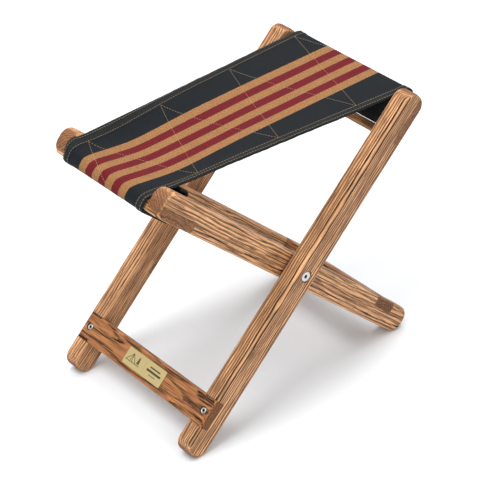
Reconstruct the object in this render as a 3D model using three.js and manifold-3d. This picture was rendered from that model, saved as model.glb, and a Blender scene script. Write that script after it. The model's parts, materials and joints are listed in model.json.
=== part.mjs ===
// Folding camp stool: two crossed hardwood frames that turn on a pair of pivot bolts,
// with a canvas seat slung between their top rails.
// Millimetres. +X runs along the seat towards the outer frame's rail, +Y runs along the
// rails and +Z is up. The origin is on the floor, centred under the pivot bolts.
// A frame is built in its own axes: x along the legs from the pivot towards the seat,
// y along the rails, and z across the legs, out of the face that carries the stretcher.

import * as THREE from "three";
import { mergeVertices } from "three/addons/utils/BufferGeometryUtils.js";
import Module from "manifold-3d";

const wasm = await Module();
wasm.setup();

// Driving dimensions
const OVERALL_WIDTH = 288;
const OPEN_TILT = THREE.MathUtils.degToRad(43.4);
const CLEARANCE = 0.3;
const OVERCUT = 2;

const LEG = { length: 584, depth: 40, thickness: 27.5, endRadius: 16.5, arris: 5 };
const SIDE_GAP = 1.6;
const STRETCHER = { width: 42, thickness: 15.2, fromFoot: 41.6, edge: 4 };
const RAIL = { width: 69, thickness: 16.4, fromTop: 4, edge: 4 };
const SLOT = { width: 6, fromBottom: 12 };

const CANVAS = { thickness: 2.4, lift: 0.7, sideGap: 1.4, bend: 3, foldBend: 7 };
const SEAT = { endX: 204.6, flareX: -190, steps: 8 };
// The stiff canvas stands off each rail's top, and its tail leaves the slot and meets the seat at
// the seam. tailOut and tailDrop place the tail's turn from the slot.
const SLEEVE = {
  outer: { loft: 5.4, seamX: 188, tailOut: 5, tailDrop: -6 },
  inner: { loft: 2.6, seamX: 163, tailOut: 28, tailDrop: 4 },
};
// The rear hem climbs the end of the inner leg; the front hem stays level. bow is how far into
// the seat each hem's lift reaches: 2 lifts a wide part of it and more lifts only the edge.
const HEM = { front: 404.8, rear: { far: 407.5, near: 414.5 }, bow: { far: 2, near: 6 } };

const SCREW = { headRadius: 4.8, headHeight: 3.6, shankRadius: 2.5, length: 30, hex: 4 };
const COUNTERBORE = { radius: 5.8, depth: 4.6 };
const BOLT = { headRadius: 8.2, headHeight: 2, shankRadius: 3, length: 47, hex: 6 };
const NUT = { headRadius: 7, headHeight: 1.8, shankRadius: 4.5, length: 48, hex: 5, boreRadius: 3.3 };
const RECESS = { depth: 2.3, margin: 0.8 };
const WASHER = { outerRadius: 11, innerRadius: 4.8 };
const PLATE = { length: 84, width: 26, thickness: 0.9, corner: 1.5 };

// Sizes that follow from them
const HALF_LENGTH = LEG.length / 2;
const HALF_DEPTH = LEG.depth / 2;
const OUTER_HALF = OVERALL_WIDTH / 2;
const INNER_HALF = OUTER_HALF - LEG.thickness - SIDE_GAP;
const PIVOT_HEIGHT =
  (HALF_LENGTH - LEG.endRadius) * Math.sin(OPEN_TILT) +
  (HALF_DEPTH - LEG.endRadius) * Math.cos(OPEN_TILT) +
  LEG.endRadius;
const STRETCHER_X = STRETCHER.fromFoot + STRETCHER.width / 2 - HALF_LENGTH;
const RAIL_TOP = HALF_LENGTH - RAIL.fromTop;
const RAIL_X = RAIL_TOP - RAIL.width / 2;
const SLOT_X = RAIL_TOP - RAIL.width + SLOT.fromBottom + SLOT.width / 2;

const FINISH = {
  wood: { color: 0xa8744a, roughness: 0.55, metalness: 0 },
  board: { color: 0xb8763f, roughness: 0.55, metalness: 0 },
  canvas: { color: 0x2c3236, roughness: 0.9, metalness: 0 },
  steel: { color: 0xc9ccce, roughness: 0.3, metalness: 1 },
  brass: { color: 0xd3c07c, roughness: 0.4, metalness: 0.9 },
  nylon: { color: 0xe6e2d8, roughness: 0.6, metalness: 0 },
};

// Geometry and solids

function solid(geometry) {
  const bare = geometry.index ? geometry.toNonIndexed() : geometry.clone();
  bare.deleteAttribute("normal");
  bare.deleteAttribute("uv");
  const merged = mergeVertices(bare, 1e-4);
  const triVerts = new Uint32Array(merged.index.array);
  const vertProperties = merged.attributes.position.array;
  return new wasm.Manifold(new wasm.Mesh({ numProp: 3, vertProperties, triVerts }));
}

function geometryOf(manifold) {
  const mesh = manifold.getMesh();
  const geometry = new THREE.BufferGeometry();
  geometry.setAttribute("position", new THREE.BufferAttribute(mesh.vertProperties, 3));
  geometry.setIndex(new THREE.BufferAttribute(mesh.triVerts, 1));
  const flat = geometry.toNonIndexed();
  flat.computeVertexNormals();
  return flat;
}

function block(x, y, z, centre) {
  return solid(new THREE.BoxGeometry(x, y, z).translate(...centre));
}

function roundedRectangle(halfX, halfY, radius, segments) {
  const points = [];
  const corners = [[1, 1], [-1, 1], [-1, -1], [1, -1]];
  corners.forEach(([sx, sy], corner) => {
    for (let i = 0; i <= segments; i++) {
      const angle = ((corner + i / segments) * Math.PI) / 2;
      const x = sx * (halfX - radius) + radius * Math.cos(angle);
      const y = sy * (halfY - radius) + radius * Math.sin(angle);
      points.push(new THREE.Vector2(x, y));
    }
  });
  return new THREE.Shape(points);
}

// A round bar whose axis lies along y, with its centre at the origin.
function roundBar(radius, length, segments) {
  return solid(new THREE.CylinderGeometry(radius, radius, length, segments));
}

function hexagonPrism(acrossFlats, depth) {
  const radius = acrossFlats / Math.sqrt(3);
  const points = Array.from({ length: 6 }, (_, i) => {
    const angle = (i * Math.PI) / 3;
    return new THREE.Vector2(radius * Math.cos(angle), radius * Math.sin(angle));
  });
  const geometry = new THREE.ExtrudeGeometry(new THREE.Shape(points), { depth, bevelEnabled: false });
  return solid(geometry.rotateX(Math.PI / 2));
}

// Wooden members, in the frame's axes

function wholeLeg(y) {
  const outline = roundedRectangle(
    HALF_LENGTH - LEG.arris, HALF_DEPTH - LEG.arris, LEG.endRadius - LEG.arris, 6,
  );
  const geometry = new THREE.ExtrudeGeometry(outline, {
    depth: LEG.thickness - 2 * LEG.arris,
    bevelThickness: LEG.arris,
    bevelSize: LEG.arris,
    bevelSegments: 3,
  });
  geometry.translate(0, 0, LEG.arris - LEG.thickness / 2);
  return solid(geometry.rotateX(Math.PI / 2).translate(0, y, 0));
}

// The space that a board's end takes out of a leg, grown by a gap on its hidden faces.
function lapSpace(board, y, gap) {
  const depth = board.size.thickness + gap + OVERCUT;
  const z = board.side * (HALF_DEPTH + OVERCUT - depth / 2);
  return block(board.size.width + 2 * gap, LEG.thickness + OVERCUT, depth, [board.x, y, z]);
}

function boardBar(board, half) {
  const section = roundedRectangle(
    board.size.width / 2, board.size.thickness / 2, board.size.edge, 4,
  );
  const depth = 2 * (half - LEG.arris - OVERCUT);
  const geometry = new THREE.ExtrudeGeometry(section, { depth, bevelEnabled: false });
  geometry.translate(0, 0, -depth / 2).rotateX(Math.PI / 2);
  const z = board.side * (HALF_DEPTH - board.size.thickness / 2);
  return solid(geometry.translate(board.x, 0, z));
}

// A board's screw hole: a wide bore for the head and a narrow one for the shank.
function screwHole(board, y) {
  const face = board.side * HALF_DEPTH;
  const shank = roundBar(SCREW.shankRadius + CLEARANCE, 2 * (SCREW.length + COUNTERBORE.depth), 12);
  const head = roundBar(COUNTERBORE.radius, 2 * COUNTERBORE.depth, 28);
  return shank.add(head).rotate([90, 0, 0]).translate([board.x, y, face]);
}

function boardSolid(board, half) {
  const legY = half - LEG.thickness / 2;
  let made = boardBar(board, half);
  for (const y of [-legY, legY]) {
    made = made.add(wholeLeg(y).intersect(lapSpace(board, y, 0)));
    made = made.subtract(screwHole(board, y));
  }
  return board.slotHalf ? made.subtract(canvasSlot(board.slotHalf)) : made;
}

function canvasSlot(slotHalf) {
  const endRadius = 0.95 * (SLOT.width / 2);
  const outline = roundedRectangle(slotHalf, SLOT.width / 2, endRadius, 4);
  const depth = 2 * RAIL.thickness;
  const geometry = new THREE.ExtrudeGeometry(outline, { depth, bevelEnabled: false });
  geometry.translate(0, 0, -depth / 2).rotateZ(Math.PI / 2);
  return solid(geometry.translate(SLOT_X, 0, -HALF_DEPTH + RAIL.thickness / 2));
}

// recess is the counterbore for the pivot hardware, on the side that recessSide points to.
function legSolid(y, boards, recessRadius, recessSide) {
  let made = wholeLeg(y);
  for (const board of boards) {
    made = made.subtract(lapSpace(board, y, CLEARANCE)).subtract(screwHole(board, y));
  }
  const bore = roundBar(NUT.shankRadius + CLEARANCE, LEG.thickness + OVERCUT, 24);
  const recess = roundBar(recessRadius, 2 * RECESS.depth, 32);
  const faceY = y + (recessSide * LEG.thickness) / 2;
  return made.subtract(bore.translate([0, y, 0])).subtract(recess.translate([0, faceY, 0]));
}

// Fasteners stand on the +y axis, with the underside of the head at y = 0.

function headedBar({ headRadius, headHeight, shankRadius, length, hex }) {
  const chamfer = 0.5;
  const socketDepth = 0.65 * headHeight;
  const profile = [
    [0, -length],
    [shankRadius - chamfer, -length],
    [shankRadius, chamfer - length],
    [shankRadius, 0],
    [headRadius, 0],
    [headRadius, headHeight - chamfer],
    [headRadius - chamfer, headHeight],
    [0, headHeight],
  ].map(([radius, y]) => new THREE.Vector2(radius, y));
  const turned = solid(new THREE.LatheGeometry(profile, 24));
  const socket = hexagonPrism(hex, headHeight).translate([0, 2 * headHeight - socketDepth, 0]);
  return turned.subtract(socket);
}

function sleeveNutSolid() {
  const endWall = 4;
  const bore = roundBar(NUT.boreRadius, 2 * (NUT.length - endWall), 20);
  return headedBar(NUT).subtract(bore.translate([0, -NUT.length, 0]));
}

function washerSolid() {
  const thickness = SIDE_GAP - 2 * CLEARANCE;
  const hole = roundBar(WASHER.innerRadius, 2 * thickness, 24);
  return roundBar(WASHER.outerRadius, thickness, 32).subtract(hole);
}

function plateSolid() {
  const outline = roundedRectangle(PLATE.width / 2, PLATE.length / 2, PLATE.corner, 4);
  const options = { depth: PLATE.thickness, bevelEnabled: false };
  return solid(new THREE.ExtrudeGeometry(outline, options));
}

// Canvas

// The outline of a strip of cloth that follows a centre line in a plane.
function stripShape(centreLine) {
  const half = CANVAS.thickness / 2;
  const sides = [1, -1].map((side) =>
    centreLine.map((point, i) => {
      const before = centreLine[Math.max(i - 1, 0)];
      const after = centreLine[Math.min(i + 1, centreLine.length - 1)];
      const along = after.clone().sub(before).normalize();
      return new THREE.Vector2(point.x - side * half * along.y, point.y + side * half * along.x);
    }),
  );
  return new THREE.Shape([...sides[0], ...sides[1].reverse()]);
}

// A path through corners. Each inner corner is rounded by a curve that starts its bend before it.
function roundedPath(corners, bends) {
  const points = [corners[0]];
  for (let i = 1; i < corners.length - 1; i++) {
    const bend = bends[i - 1];
    const start = corners[i].clone().sub(corners[i - 1]).setLength(bend).negate().add(corners[i]);
    const end = corners[i + 1].clone().sub(corners[i]).setLength(bend).add(corners[i]);
    points.push(...new THREE.QuadraticBezierCurve(start, corners[i], end).getPoints(4));
  }
  return [...points, corners[corners.length - 1]];
}

// Extrudes a shape drawn in (x, z) along y, centred on y = 0.
function alongY(shape, halfWidth, steps) {
  const depth = 2 * halfWidth;
  const geometry = new THREE.ExtrudeGeometry(shape, { depth, steps, bevelEnabled: false });
  return geometry.translate(0, 0, -halfWidth).rotateX(Math.PI / 2);
}

// The sleeve runs over the rail's top edge, down its outer face, through the slot and back up
// to the seam under the seat. facing is 1 at the outer frame's end of the seat and -1 at the other.
function sleeveSolid(halfWidth, facing) {
  const { loft, seamX, tailOut, tailDrop } = facing > 0 ? SLEEVE.outer : SLEEVE.inner;
  const off = CANVAS.lift + CANVAS.thickness / 2;
  const inner = RAIL.thickness - HALF_DEPTH;
  const top = RAIL_TOP + off + loft;
  const start = inFrame(SEAT.endX + CLEARANCE, seatHeight(facing * SEAT.endX));
  const seamZ = seatHeight(facing * seamX) - 1.5 * CANVAS.thickness;
  const corners = [
    start,
    new THREE.Vector2(top, start.y - (top - start.x) * Math.tan(OPEN_TILT)),
    new THREE.Vector2(top, -HALF_DEPTH - off),
    new THREE.Vector2(SLOT_X, -HALF_DEPTH - off),
    new THREE.Vector2(SLOT_X, inner + off),
    new THREE.Vector2(SLOT_X - tailDrop, inner + off + tailOut),
    inFrame(seamX, seamZ),
  ];
  const { bend, foldBend } = CANVAS;
  const path = roundedPath(corners, [bend, foldBend, bend, bend, bend]);
  return solid(alongY(stripShape(path), halfWidth, 1));
}

// A point of the side view, in the axes of the outer frame.
function inFrame(x, z) {
  const up = z - PIVOT_HEIGHT;
  return new THREE.Vector2(
    x * Math.cos(OPEN_TILT) + up * Math.sin(OPEN_TILT),
    up * Math.cos(OPEN_TILT) - x * Math.sin(OPEN_TILT),
  );
}

// The seat's middle line in the side view: it dips behind the near rail, where it is sat on.
const SEAT_LINE = new THREE.SplineCurve(
  [
    [-SEAT.endX, 404.4], [-165, 399.2], [-130, 396.8], [-50, 398.9],
    [50, 402.4], [130, 404.2], [SEAT.endX, 405.4],
  ].map(([x, z]) => new THREE.Vector2(x, z)),
);
const SEAT_POINTS = SEAT_LINE.getPoints(20);

function seatHeight(x) {
  const past = SEAT_POINTS.findIndex((point) => point.x >= x);
  const next = past < 0 ? SEAT_POINTS.length - 1 : Math.max(past, 1);
  const [a, b] = [SEAT_POINTS[next - 1], SEAT_POINTS[next]];
  return THREE.MathUtils.mapLinear(x, a.x, b.x, a.y, b.y);
}

// The seat flares from between the inner legs to between the outer legs, and its hemmed edges
// stay straighter than its middle.
function hemHeight(x, across) {
  if (across < 0) return HEM.front;
  return THREE.MathUtils.mapLinear(x, -SEAT.endX, SEAT.endX, HEM.rear.near, HEM.rear.far);
}

function seatSolid() {
  const nearHalf = INNER_HALF - LEG.thickness - CANVAS.sideGap;
  const farHalf = OUTER_HALF - LEG.thickness - CANVAS.sideGap;
  const geometry = alongY(stripShape(SEAT_POINTS), 1, SEAT.steps);
  const position = geometry.attributes.position;
  for (let i = 0; i < position.count; i++) {
    const x = position.getX(i);
    const across = position.getY(i);
    const flare = THREE.MathUtils.clamp((x - SEAT.flareX) / (SEAT.endX - SEAT.flareX), 0, 1);
    const near = THREE.MathUtils.smoothstep(-x, 0, SEAT.endX);
    const bow = THREE.MathUtils.lerp(HEM.bow.far, HEM.bow.near, near);
    const lift = hemHeight(x, across) - seatHeight(x);
    position.setY(i, across * THREE.MathUtils.lerp(nearHalf, farHalf, flare));
    position.setZ(i, position.getZ(i) + lift * Math.abs(across) ** bow);
  }
  return solid(geometry);
}

// Assembly

const stool = new THREE.Group();

function node(group, name, finish, manifold, place = {}) {
  const mesh = new THREE.Mesh(geometryOf(manifold), new THREE.MeshStandardMaterial(FINISH[finish]));
  mesh.name = name;
  if (place.rotation) mesh.rotation.set(...place.rotation);
  if (place.position) mesh.position.set(...place.position);
  group.add(mesh);
}

// One frame: two legs, a foot stretcher, a seat rail, the screws that hold them and the sleeve.
// facing is 1 where the frame's y runs along the stool's +Y and -1 where it is turned about.
function addFrame(prefix, half, facing, recess) {
  const group = new THREE.Group();
  group.position.set(0, 0, PIVOT_HEIGHT);
  group.rotation.set(0, -OPEN_TILT, facing > 0 ? 0 : Math.PI, "ZYX");
  stool.add(group);

  const legY = half - LEG.thickness / 2;
  const insideHalf = half - LEG.thickness;
  const slotHalf = insideHalf - CLEARANCE;
  const stretcher = { x: STRETCHER_X, side: 1, size: STRETCHER };
  const rail = { x: RAIL_X, side: -1, size: RAIL, slotHalf };
  const ends = { front: -facing, rear: facing };

  for (const [end, side] of Object.entries(ends)) {
    const y = side * legY;
    const leg = legSolid(y, [stretcher, rail], recess.radius, side * recess.side);
    node(group, `${prefix}_leg_${end}`, "wood", leg);
    for (const [name, board] of Object.entries({ stretcher, rail })) {
      const seatZ = board.side * (HALF_DEPTH - COUNTERBORE.depth + CLEARANCE);
      node(group, `${prefix}_${name}_screw_${end}`, "steel", headedBar(SCREW), {
        rotation: [(board.side * Math.PI) / 2, 0, 0],
        position: [board.x, y, seatZ],
      });
    }
  }
  node(group, `${prefix}_foot_stretcher`, "board", boardSolid(stretcher, half));
  node(group, `${prefix}_seat_rail`, "board", boardSolid(rail, half));
  node(group, `${prefix}_sleeve`, "canvas", sleeveSolid(insideHalf - CANVAS.sideGap, facing));
  return group;
}

// The pivot on one side: a bolt let into the outer leg, screwed into a sleeve nut from inside.
function addPivot(group, end, side) {
  const outward = [side > 0 ? 0 : Math.PI, 0, 0];
  const inward = [side > 0 ? Math.PI : 0, 0, 0];
  const headSeat = OUTER_HALF - RECESS.depth + CLEARANCE;
  const nutSeat = INNER_HALF - LEG.thickness + RECESS.depth - CLEARANCE;
  const gapCentre = INNER_HALF + SIDE_GAP / 2;
  const place = (rotation, y) => ({ rotation, position: [0, side * y, 0] });
  node(group, `pivot_bolt_${end}`, "steel", headedBar(BOLT), place(outward, headSeat));
  node(group, `pivot_sleeve_nut_${end}`, "steel", sleeveNutSolid(), place(inward, nutSeat));
  node(group, `pivot_washer_${end}`, "nylon", washerSolid(), place(outward, gapCentre));
}

const outerFrame = addFrame("outer", OUTER_HALF, 1, {
  radius: BOLT.headRadius + RECESS.margin,
  side: 1,
});
addFrame("inner", INNER_HALF, -1, { radius: NUT.headRadius + RECESS.margin, side: -1 });
addPivot(outerFrame, "front", -1);
addPivot(outerFrame, "rear", 1);
node(outerFrame, "name_plate", "brass", plateSolid(), {
  position: [STRETCHER_X, 0, HALF_DEPTH + CLEARANCE],
});
node(stool, "seat_panel", "canvas", seatSolid());

export default stool;
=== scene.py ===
"""Looks of a folding camp stool: stained ash frames, a striped canvas seat and its fittings.

Lengths are metres in the shared frame: +X runs along the seat towards the outer frame's rail, +Y
along the rails and +Z up, with the origin on the floor under the pivot. A frame's own axes are
u along its legs from the pivot to the seat, y along its rails and n out of its stretcher's face.
"""

import json
import math

import bmesh
import bpy
import numpy as np
from mathutils import Euler, Matrix, Vector


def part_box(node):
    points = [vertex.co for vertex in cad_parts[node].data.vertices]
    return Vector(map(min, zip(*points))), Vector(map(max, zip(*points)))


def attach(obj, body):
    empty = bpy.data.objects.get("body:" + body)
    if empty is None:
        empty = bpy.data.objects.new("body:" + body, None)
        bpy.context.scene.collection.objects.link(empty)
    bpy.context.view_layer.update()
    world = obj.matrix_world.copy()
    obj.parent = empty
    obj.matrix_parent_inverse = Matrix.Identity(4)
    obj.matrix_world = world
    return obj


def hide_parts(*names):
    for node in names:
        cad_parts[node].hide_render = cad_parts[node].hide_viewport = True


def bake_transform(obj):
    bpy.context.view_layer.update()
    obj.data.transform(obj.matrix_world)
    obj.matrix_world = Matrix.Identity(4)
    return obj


MM = 0.001
TINY = 1e-12
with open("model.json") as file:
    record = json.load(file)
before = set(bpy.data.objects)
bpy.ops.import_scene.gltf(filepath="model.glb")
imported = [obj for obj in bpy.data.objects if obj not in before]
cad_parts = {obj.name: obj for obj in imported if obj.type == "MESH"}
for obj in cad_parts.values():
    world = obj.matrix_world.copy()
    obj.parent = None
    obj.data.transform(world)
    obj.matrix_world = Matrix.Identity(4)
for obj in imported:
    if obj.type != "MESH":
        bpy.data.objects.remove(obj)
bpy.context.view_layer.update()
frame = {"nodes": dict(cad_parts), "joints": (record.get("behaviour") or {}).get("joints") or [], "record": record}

HINGE = next(joint for joint in frame["joints"] if joint["name"] == "fold")
PIVOT = Vector(HINGE["pos_m"])
# The mount on a foot stretcher's face points across the legs, so its axis gives their tilt.
FACE_MOUNT = next(m for m in frame["record"]["mounts"] if m["name"] == "stretcher_face")
TILT = math.atan2(abs(FACE_MOUNT["axis"][0]), FACE_MOUNT["axis"][2])
ENDS = {"front": -1, "rear": 1}


class FrameAxes:
    """One frame's own axes. The inner frame is the outer one turned half round about +Z."""

    def __init__(self, facing):
        self.facing = facing
        self.turn = Euler((0, -TILT, 0 if facing > 0 else math.pi))
        self.matrix = Matrix.Translation(PIVOT) @ self.turn.to_matrix().to_4x4()

    def box(self, node):
        """The lowest and highest corner of a CAD node in this frame's axes."""
        inverse = self.matrix.inverted()
        points = np.array([inverse @ v.co for v in frame["nodes"][node].data.vertices])
        return Vector(points.min(0)), Vector(points.max(0))


AXES = {"outer": FrameAxes(1), "inner": FrameAxes(-1)}


# Node materials


SCREEN_GAMMA = 2.2


def paint(red, green, blue):
    """A linear colour from the 0 to 255 values that a screen shows."""
    return (*[(value / 255) ** SCREEN_GAMMA for value in (red, green, blue)], 1)


class Graph:
    """A node material. Each call adds a node and gives its output."""

    def __init__(self, name, **surface):
        self.material = bpy.data.materials.new(name)
        self.material.use_nodes = True
        self.tree = self.material.node_tree
        self.surface = self.tree.nodes["Principled BSDF"].inputs
        for socket, value in surface.items():
            self.surface[socket.replace("_", " ").title()].default_value = value

    def add(self, kind, inputs, **settings):
        made = self.tree.nodes.new("ShaderNode" + kind)
        for setting, value in settings.items():
            setattr(made, setting, value)
        for socket, value in inputs.items():
            self.feed(made.inputs[socket], value)
        return made

    def feed(self, socket, value):
        if isinstance(value, bpy.types.NodeSocket):
            self.tree.links.new(value, socket)
        else:
            socket.default_value = value

    def math(self, operation, *values):
        return self.add("Math", dict(enumerate(values)), operation=operation).outputs[0]

    def dot(self, a, b):
        made = self.add("VectorMath", {0: a, 1: b}, operation="DOT_PRODUCT")
        return made.outputs["Value"]

    def span(self, value, low, high, to_low=0.0, to_high=1.0):
        """value, eased from low and high to to_low and to_high and held outside them."""
        inputs = {0: value, 1: low, 2: high, 3: to_low, 4: to_high}
        return self.add("MapRange", inputs, interpolation_type="SMOOTHSTEP").outputs[0]

    def noise(self, vector, scale, detail=2.0, roughness=0.5):
        inputs = {"Vector": vector, "Scale": scale, "Detail": detail, "Roughness": roughness}
        return self.add("TexNoise", inputs).outputs[0]

    def mix(self, share, a, b, blend="MIX"):
        """Two colours mixed. A mix node's colours are its inputs 6 and 7 and its output 2."""
        made = self.tree.nodes.new("ShaderNodeMix")
        made.data_type = "RGBA"
        made.blend_type = blend
        for socket, value in zip((made.inputs[0], made.inputs[6], made.inputs[7]), (share, a, b)):
            self.feed(socket, value)
        return made.outputs[2]

    def tinted(self, colour, value, strength, tone):
        return self.mix(self.math("MULTIPLY", value, strength), colour, tone)

    def scaled(self, vector, scale):
        return self.add("Mapping", {"Vector": vector, "Scale": scale}).outputs[0]

    def coordinates(self, output="Object"):
        return self.add("TexCoord", {}).outputs[output]

    def bump(self, height, distance, strength=1.0):
        inputs = {"Height": height, "Distance": distance, "Strength": strength}
        self.feed(self.surface["Normal"], self.add("Bump", inputs).outputs[0])


# Wood. Lengths in its materials are millimetres.


# The light, middle and pore colours of the legs and of the boards.
WOOD_TONES = (paint(242, 182, 130), paint(142, 90, 55), paint(34, 15, 7))
BOARD_TONES = (paint(198, 133, 84), paint(128, 79, 46), paint(34, 16, 8))

# Each noise in the wood: its scale along the grain and across it, its detail and its roughness.
GRAIN = {
    "drift": (0.006, 0.03, 2.0, 0.5),
    "waver": (0.02, 0.1, 2.0, 0.5),
    "cloud": (0.008, 0.1, 2.0, 0.5),
    "streaks": (0.03, 0.75, 3.0, 0.6),
    "dashes": (0.026, 1.2, 2.0, 0.5),
    "fibres": (0.05, 3.2, 2.0, 0.6),
    "specks": (0.9, 0.9, 3.0, 0.7),
}
# The values between which a noise comes to show.
SHOWS = {
    "cloud": (0.36, 0.64),
    "streaks": (0.42, 0.54),
    "dashes": (0.52, 0.58),
    "fibres": (0.38, 0.66),
    "specks": (0.42, 0.6),
}
# How strongly each thing that shows changes the colour. The lightening of rounded edges is wear and a painted
# highlight along the arrises.
STRENGTH = {"cloud": 0.45, "fibres": 0.55, "year": 0.22, "pores": 0.98, "edge_wear_and_highlight": 0.42, "end": 0.75}

# How far a ring wavers, and the noise that makes some years wider than others.
WAVER_REACH = 2.4
RING_WIDTHS = {"scale": 0.1, "reach": 4.0}
# The shares of a year's growth over which its pores set in and die out.
PORES_START, PORES_STOP = (0.0, 0.12), (0.38, 0.64)
# A year's pores are this much darker for its random share, and this dark at least.
YEAR_DARKNESS = (0.35, 0.72)
# How far apart in the noise two members lie.
SEED_SHIFT = 137.0

# How far a face has to turn to the ends or the sides to count as end grain or as flat.
END_GRAIN = (0.4, 0.8)
FLAT_FACE = (0.72, 0.98)

WOOD_GLOSS = {"coat_weight": 0.04, "coat_roughness": 0.3}
WOOD_SPECULAR = 0.22
WOOD_ROUGHNESS = {"body": 0.38, "pores": 0.3}
WOOD_RELIEF = {"fibres": 0.2, "depth": 0.5 * MM, "strength": 0.8}


def log_cut(grain, pith, ring, drift, solid=0.4, dashes=0.75):
    """How a member lay in its log: its grain's axis, where the pith is and how wide a ring is.

    drift is how far the rings wander, solid how unbroken their dark lines are and dashes how
    dark the pores between them are.
    """
    return {"grain": grain, "pith": pith, "ring": ring, "drift": drift, "solid": solid,
            "dashes": dashes}


MEMBERS = {
    "outer_leg_front": (log_cut("u", (-64.0, 58.0), 2.6, 6.0, 0.85, 0.7), WOOD_TONES),
    "outer_leg_rear": (log_cut("u", (50.0, 58.0), 2.6, 8.0, 0.5), WOOD_TONES),
    "inner_leg_front": (log_cut("u", (40.0, 42.0), 3.6, 14.0, 0.5, 0.8), WOOD_TONES),
    "inner_leg_rear": (log_cut("u", (-40.0, 38.0), 3.6, 20.0), WOOD_TONES),
    "outer_foot_stretcher": (log_cut("y", (4.0, 26.0), 3.6, 26.0, 0.25, 0.7), BOARD_TONES),
    "outer_seat_rail": (log_cut("y", (-10.0, 52.0), 3.8, 24.0), WOOD_TONES),
    "inner_foot_stretcher": (log_cut("y", (10.0, 34.0), 3.6, 26.0), BOARD_TONES),
    "inner_seat_rail": (log_cut("y", (4.0, 58.0), 3.8, 24.0), WOOD_TONES),
}


def grain_space(g, axes, centre, grain, seed):
    """Millimetres from the member's middle, with x along its grain, shifted by its seed."""
    own = g.add(
        "Mapping",
        {"Vector": g.coordinates(), "Location": axes.matrix @ centre, "Rotation": axes.turn},
        vector_type="TEXTURE",
    ).outputs[0]
    inputs = {
        "Vector": own,
        "Rotation": (0, 0, 0 if grain == "u" else -math.pi / 2),
        "Scale": (1 / MM, 1 / MM, 1 / MM),
        "Location": (seed * SEED_SHIFT, 0, 0),
    }
    return g.add("Mapping", inputs).outputs[0]


def grain_noise(g, along, kind):
    lengthwise, across, detail, roughness = GRAIN[kind]
    return g.noise(g.scaled(along, (lengthwise, across, across)), 1.0, detail, roughness)


def growth_rings(g, along, noise, log):
    """How thick the pores of each year's early wood stand, and a random share for each year."""
    axis = g.add("SeparateXYZ", {0: along}).outputs
    across = g.math("ADD", axis[1], log["pith"][0])
    shift = g.math("MULTIPLY_ADD", noise["drift"], log["drift"], log["pith"][1])
    deep = g.math("ADD", axis[2], shift)
    squares = [g.math("POWER", side, 2.0) for side in (across, deep)]
    radius = g.math("SQRT", g.math("ADD", *squares))
    inputs = {"W": radius, "Scale": RING_WIDTHS["scale"], "Detail": 1.0}
    widths = g.add("TexNoise", inputs, noise_dimensions="1D").outputs[0]
    wavy = g.math("MULTIPLY_ADD", noise["waver"], WAVER_REACH, radius)
    wavy = g.math("ADD", wavy, g.math("MULTIPLY", widths, RING_WIDTHS["reach"]))
    years = g.math("DIVIDE", wavy, log["ring"])
    whole = {"W": g.math("FLOOR", years)}
    year = g.add("TexWhiteNoise", whole, noise_dimensions="1D").outputs[0]
    part = g.math("FRACT", years)
    early = g.math("MULTIPLY", g.span(part, *PORES_START), g.span(part, *PORES_STOP, 1.0, 0.0))
    return g.math("MULTIPLY", early, g.math("MULTIPLY_ADD", year, *YEAR_DARKNESS)), year


def faces_of(g, axes, grain):
    """How much a point is on end grain, and how much it is on a rounded edge between sides."""
    normal = g.coordinates("Normal")
    columns = [Vector(axes.matrix.col[i][:3]) for i in range(3)]
    ends, sides = (0, 1) if grain == "u" else (1, 0)
    facing = [g.math("ABSOLUTE", g.dot(normal, columns[i])) for i in (ends, sides, 2)]
    end_grain = g.span(facing[0], *END_GRAIN)
    edge = g.span(g.math("MAXIMUM", facing[1], facing[2]), *FLAT_FACE, 1.0, 0.0)
    return end_grain, g.math("MULTIPLY", edge, g.math("SUBTRACT", 1.0, end_grain))


def wood(name, axes, centre, log, tones, seed):
    """Stained ring-porous wood, as a block cut from a log around centre."""
    light, middle, pore = tones
    g = Graph(name, **WOOD_GLOSS)
    g.surface["Specular IOR Level"].default_value = WOOD_SPECULAR
    along = grain_space(g, axes, centre, log["grain"], seed)
    noise = {kind: grain_noise(g, along, kind) for kind in GRAIN}
    shown = {kind: g.span(noise[kind], *limits) for kind, limits in SHOWS.items()}

    early, year = growth_rings(g, along, noise, log)
    solid = log["solid"]
    unbroken = g.math("MULTIPLY_ADD", shown["streaks"], 1 - solid, solid)
    scattered = g.math("MULTIPLY", shown["dashes"], log["dashes"])
    pores = g.math("MAXIMUM", g.math("MULTIPLY", early, unbroken), scattered)

    body = g.tinted(light, shown["cloud"], STRENGTH["cloud"], middle)
    body = g.tinted(body, shown["fibres"], STRENGTH["fibres"], middle)
    body = g.tinted(body, year, STRENGTH["year"], light)
    colour = g.tinted(body, pores, STRENGTH["pores"], pore)
    end_grain, edge_wear_and_highlight = faces_of(g, axes, log["grain"])
    # Rounded edges are lightened: wear, and a painted highlight along the arrises.
    colour = g.tinted(colour, edge_wear_and_highlight, STRENGTH["edge_wear_and_highlight"], light)
    end_tone = g.mix(shown["specks"], middle, pore)
    colour = g.tinted(colour, end_grain, STRENGTH["end"], end_tone)
    g.feed(g.surface["Base Color"], colour)

    rough = (WOOD_ROUGHNESS["pores"], WOOD_ROUGHNESS["body"])
    g.feed(g.surface["Roughness"], g.math("MULTIPLY_ADD", pores, *rough))
    filled = g.math("SUBTRACT", 1.0, pores)
    relief = g.math("MULTIPLY_ADD", noise["fibres"], WOOD_RELIEF["fibres"], filled)
    g.bump(relief, WOOD_RELIEF["depth"], WOOD_RELIEF["strength"])
    return g.material


# Metal and plain materials


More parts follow.
